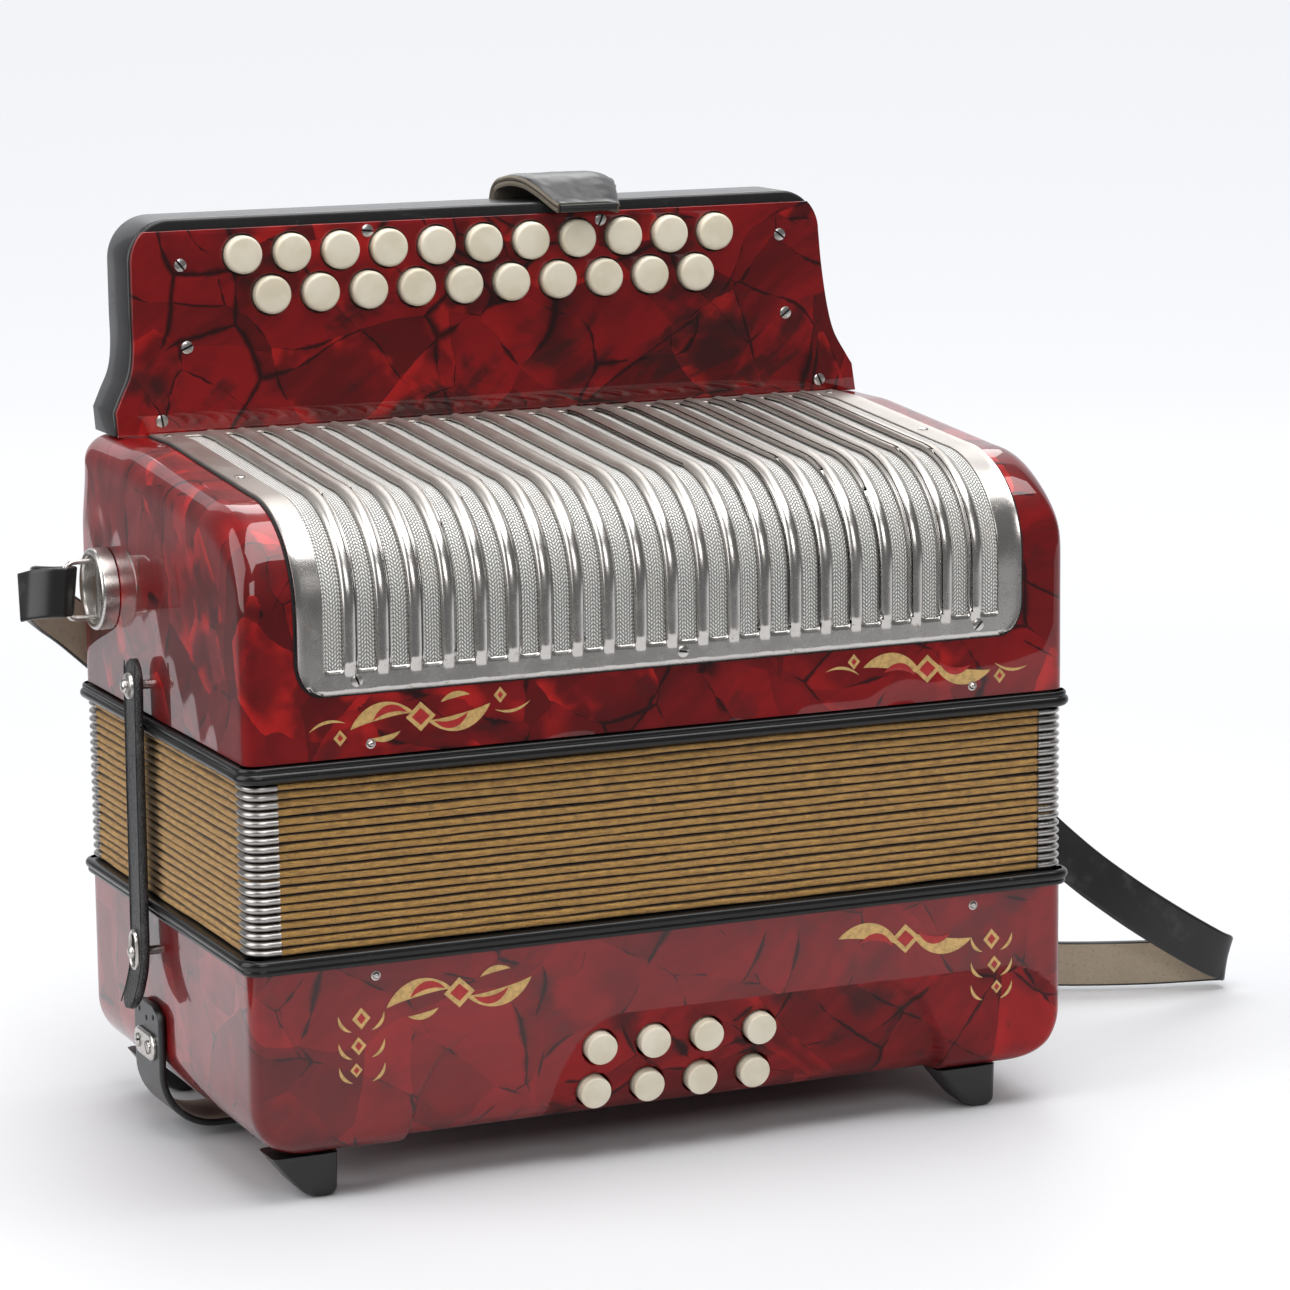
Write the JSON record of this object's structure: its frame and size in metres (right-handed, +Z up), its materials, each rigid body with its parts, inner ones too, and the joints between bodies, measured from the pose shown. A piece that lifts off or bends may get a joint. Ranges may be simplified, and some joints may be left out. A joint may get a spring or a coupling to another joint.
{
  "type": "button accordion",
  "caption": "Diatonic button accordion in red pearl celluloid, closed and standing on its bass end, with folding bellows, pressing buttons, swinging bellows straps and a leather shoulder strap.",
  "frame": {"origin": "centre of the whole object's footprint, on the surface it stands on", "axes": "+X to the right along the long side as seen from the grille side, +Y from the grille side to the back, +Z up, along which the bellows open"},
  "size_m": [0.4425, 0.1861, 0.3025],
  "materials": {
    "red_celluloid": "red pearl celluloid with fine dark crackle, polished",
    "black_lacquer": "black lacquered wood, satin",
    "bare_wood": "bare light wood",
    "cream_plastic": "cream plastic, softly polished",
    "nickel": "nickel plate, lightly tarnished",
    "bellows_cloth": "gold-brown woven bellows cloth on folded card",
    "grille_mesh": "silver-white woven grille cloth",
    "black_leather": "black leather, satin",
    "foot_rubber": "black, satin"
  },
  "bodies": {
    "bass_body": {"bass_case": "red_celluloid", "foot_front_left": "foot_rubber", "foot_front_right": "foot_rubber", "foot_rear_left": "foot_rubber", "foot_rear_right": "foot_rubber", "bass_soundboard": "bare_wood", "bass_reed_block": "bare_wood", "bass_bellows_frame": "black_lacquer", "hand_strap": "black_leather", "hand_strap_plate_left": "nickel", "hand_strap_plate_right": "nickel", "bellows": "bellows_cloth"},
    "treble_body": {"treble_bellows_frame": "black_lacquer", "treble_case": "red_celluloid", "grille": "nickel", "grille_cloth": "grille_mesh", "fingerboard_body": "black_lacquer", "fingerboard_plate": "red_celluloid", "thumb_strap": "black_leather", "treble_soundboard": "bare_wood", "treble_reed_block_front": "bare_wood", "treble_reed_block_rear": "bare_wood", "treble_lever_rail": "bare_wood", "strap_bracket_left": "nickel", "strap_bracket_right": "nickel", "shoulder_strap": "black_leather"},
    "bellows_strap_left_body": {"bellows_strap_left": "black_leather"},
    "bellows_strap_right_body": {"bellows_strap_right": "black_leather"},
    "strap_ring_left_body": {"strap_ring_left": "nickel"},
    "strap_ring_right_body": {"strap_ring_right": "nickel"},
    "treble_button_01_body": {"treble_button_01": "cream_plastic"},
    "treble_button_02_body": {"treble_button_02": "cream_plastic"},
    "treble_button_03_body": {"treble_button_03": "cream_plastic"},
    "treble_button_04_body": {"treble_button_04": "cream_plastic"},
    "treble_button_05_body": {"treble_button_05": "cream_plastic"},
    "treble_button_06_body": {"treble_button_06": "cream_plastic"},
    "treble_button_07_body": {"treble_button_07": "cream_plastic"},
    "treble_button_08_body": {"treble_button_08": "cream_plastic"},
    "treble_button_09_body": {"treble_button_09": "cream_plastic"},
    "treble_button_10_body": {"treble_button_10": "cream_plastic"},
    "treble_button_11_body": {"treble_button_11": "cream_plastic"},
    "treble_button_12_body": {"treble_button_12": "cream_plastic"},
    "treble_button_13_body": {"treble_button_13": "cream_plastic"},
    "treble_button_14_body": {"treble_button_14": "cream_plastic"},
    "treble_button_15_body": {"treble_button_15": "cream_plastic"},
    "treble_button_16_body": {"treble_button_16": "cream_plastic"},
    "treble_button_17_body": {"treble_button_17": "cream_plastic"},
    "treble_button_18_body": {"treble_button_18": "cream_plastic"},
    "treble_button_19_body": {"treble_button_19": "cream_plastic"},
    "treble_button_20_body": {"treble_button_20": "cream_plastic"},
    "treble_button_21_body": {"treble_button_21": "cream_plastic"},
    "bass_button_1_body": {"bass_button_1": "cream_plastic"},
    "bass_button_2_body": {"bass_button_2": "cream_plastic"},
    "bass_button_3_body": {"bass_button_3": "cream_plastic"},
    "bass_button_4_body": {"bass_button_4": "cream_plastic"},
    "bass_button_5_body": {"bass_button_5": "cream_plastic"},
    "bass_button_6_body": {"bass_button_6": "cream_plastic"},
    "bass_button_7_body": {"bass_button_7": "cream_plastic"},
    "bass_button_8_body": {"bass_button_8": "cream_plastic"},
    "air_button_body": {"air_button": "cream_plastic"}
  },
  "joints": [
    {"name": "bellows_slide", "type": "slide", "parent": "bass_body", "child": "treble_body", "axis": [0, 0, 1], "range_m": [0, 0.28], "deforming": ["bellows"]},
    {"name": "bellows_strap_left_swing", "type": "hinge", "parent": "treble_body", "child": "bellows_strap_left_body", "pos_m": [-0.1936, 0.0057, 0.1484], "axis": [1, 0, 0], "range_deg": [-60, 60]},
    {"name": "bellows_strap_right_swing", "type": "hinge", "parent": "treble_body", "child": "bellows_strap_right_body", "pos_m": [0.0968, 0.0057, 0.1484], "axis": [1, 0, 0], "range_deg": [-60, 60]},
    {"name": "strap_ring_left_swing", "type": "hinge", "parent": "treble_body", "child": "strap_ring_left_body", "pos_m": [-0.1923, 0.0437, 0.174], "axis": [0, 0, 1], "range_deg": [-12, 12]},
    {"name": "strap_ring_right_swing", "type": "hinge", "parent": "treble_body", "child": "strap_ring_right_body", "pos_m": [0.0955, 0.0437, 0.174], "axis": [0, 1, 0], "range_deg": [-12, 4]},
    {"name": "treble_button_01_press", "type": "slide", "parent": "treble_body", "child": "treble_button_01_body", "axis": [0, 1, 0], "range_m": [0, 0.004], "stiffness_N_per_m": 200, "springref_m": -0.003},
    {"name": "treble_button_02_press", "type": "slide", "parent": "treble_body", "child": "treble_button_02_body", "axis": [0, 1, 0], "range_m": [0, 0.004], "stiffness_N_per_m": 200, "springref_m": -0.003},
    {"name": "treble_button_03_press", "type": "slide", "parent": "treble_body", "child": "treble_button_03_body", "axis": [0, 1, 0], "range_m": [0, 0.004], "stiffness_N_per_m": 200, "springref_m": -0.003},
    {"name": "treble_button_04_press", "type": "slide", "parent": "treble_body", "child": "treble_button_04_body", "axis": [0, 1, 0], "range_m": [0, 0.004], "stiffness_N_per_m": 200, "springref_m": -0.003},
    {"name": "treble_button_05_press", "type": "slide", "parent": "treble_body", "child": "treble_button_05_body", "axis": [0, 1, 0], "range_m": [0, 0.004], "stiffness_N_per_m": 200, "springref_m": -0.003},
    {"name": "treble_button_06_press", "type": "slide", "parent": "treble_body", "child": "treble_button_06_body", "axis": [0, 1, 0], "range_m": [0, 0.004], "stiffness_N_per_m": 200, "springref_m": -0.003},
    {"name": "treble_button_07_press", "type": "slide", "parent": "treble_body", "child": "treble_button_07_body", "axis": [0, 1, 0], "range_m": [0, 0.004], "stiffness_N_per_m": 200, "springref_m": -0.003},
    {"name": "treble_button_08_press", "type": "slide", "parent": "treble_body", "child": "treble_button_08_body", "axis": [0, 1, 0], "range_m": [0, 0.004], "stiffness_N_per_m": 200, "springref_m": -0.003},
    {"name": "treble_button_09_press", "type": "slide", "parent": "treble_body", "child": "treble_button_09_body", "axis": [0, 1, 0], "range_m": [0, 0.004], "stiffness_N_per_m": 200, "springref_m": -0.003},
    {"name": "treble_button_10_press", "type": "slide", "parent": "treble_body", "child": "treble_button_10_body", "axis": [0, 1, 0], "range_m": [0, 0.004], "stiffness_N_per_m": 200, "springref_m": -0.003},
    {"name": "treble_button_11_press", "type": "slide", "parent": "treble_body", "child": "treble_button_11_body", "axis": [0, 1, 0], "range_m": [0, 0.004], "stiffness_N_per_m": 200, "springref_m": -0.003},
    {"name": "treble_button_12_press", "type": "slide", "parent": "treble_body", "child": "treble_button_12_body", "axis": [0, 1, 0], "range_m": [0, 0.004], "stiffness_N_per_m": 200, "springref_m": -0.003},
    {"name": "treble_button_13_press", "type": "slide", "parent": "treble_body", "child": "treble_button_13_body", "axis": [0, 1, 0], "range_m": [0, 0.004], "stiffness_N_per_m": 200, "springref_m": -0.003},
    {"name": "treble_button_14_press", "type": "slide", "parent": "treble_body", "child": "treble_button_14_body", "axis": [0, 1, 0], "range_m": [0, 0.004], "stiffness_N_per_m": 200, "springref_m": -0.003},
    {"name": "treble_button_15_press", "type": "slide", "parent": "treble_body", "child": "treble_button_15_body", "axis": [0, 1, 0], "range_m": [0, 0.004], "stiffness_N_per_m": 200, "springref_m": -0.003},
    {"name": "treble_button_16_press", "type": "slide", "parent": "treble_body", "child": "treble_button_16_body", "axis": [0, 1, 0], "range_m": [0, 0.004], "stiffness_N_per_m": 200, "springref_m": -0.003},
    {"name": "treble_button_17_press", "type": "slide", "parent": "treble_body", "child": "treble_button_17_body", "axis": [0, 1, 0], "range_m": [0, 0.004], "stiffness_N_per_m": 200, "springref_m": -0.003},
    {"name": "treble_button_18_press", "type": "slide", "parent": "treble_body", "child": "treble_button_18_body", "axis": [0, 1, 0], "range_m": [0, 0.004], "stiffness_N_per_m": 200, "springref_m": -0.003},
    {"name": "treble_button_19_press", "type": "slide", "parent": "treble_body", "child": "treble_button_19_body", "axis": [0, 1, 0], "range_m": [0, 0.004], "stiffness_N_per_m": 200, "springref_m": -0.003},
    {"name": "treble_button_20_press", "type": "slide", "parent": "treble_body", "child": "treble_button_20_body", "axis": [0, 1, 0], "range_m": [0, 0.004], "stiffness_N_per_m": 200, "springref_m": -0.003},
    {"name": "treble_button_21_press", "type": "slide", "parent": "treble_body", "child": "treble_button_21_body", "axis": [0, 1, 0], "range_m": [0, 0.004], "stiffness_N_per_m": 200, "springref_m": -0.003},
    {"name": "bass_button_1_press", "type": "slide", "parent": "bass_body", "child": "bass_button_1_body", "axis": [0, 0.9863, 0.165], "range_m": [0, 0.004], "stiffness_N_per_m": 200, "springref_m": -0.003},
    {"name": "bass_button_2_press", "type": "slide", "parent": "bass_body", "child": "bass_button_2_body", "axis": [0, 0.9863, 0.165], "range_m": [0, 0.004], "stiffness_N_per_m": 200, "springref_m": -0.003},
    {"name": "bass_button_3_press", "type": "slide", "parent": "bass_body", "child": "bass_button_3_body", "axis": [0, 0.9863, 0.165], "range_m": [0, 0.004], "stiffness_N_per_m": 200, "springref_m": -0.003},
    {"name": "bass_button_4_press", "type": "slide", "parent": "bass_body", "child": "bass_button_4_body", "axis": [0, 0.9863, 0.165], "range_m": [0, 0.004], "stiffness_N_per_m": 200, "springref_m": -0.003},
    {"name": "bass_button_5_press", "type": "slide", "parent": "bass_body", "child": "bass_button_5_body", "axis": [0, 0.9863, 0.165], "range_m": [0, 0.004], "stiffness_N_per_m": 200, "springref_m": -0.003},
    {"name": "bass_button_6_press", "type": "slide", "parent": "bass_body", "child": "bass_button_6_body", "axis": [0, 0.9863, 0.165], "range_m": [0, 0.004], "stiffness_N_per_m": 200, "springref_m": -0.003},
    {"name": "bass_button_7_press", "type": "slide", "parent": "bass_body", "child": "bass_button_7_body", "axis": [0, 0.9863, 0.165], "range_m": [0, 0.004], "stiffness_N_per_m": 200, "springref_m": -0.003},
    {"name": "bass_button_8_press", "type": "slide", "parent": "bass_body", "child": "bass_button_8_body", "axis": [0, 0.9863, 0.165], "range_m": [0, 0.004], "stiffness_N_per_m": 200, "springref_m": -0.003},
    {"name": "air_button_press", "type": "slide", "parent": "bass_body", "child": "air_button_body", "axis": [0, -1, 0], "range_m": [0, 0.004], "stiffness_N_per_m": 200, "springref_m": -0.003}
  ]
}
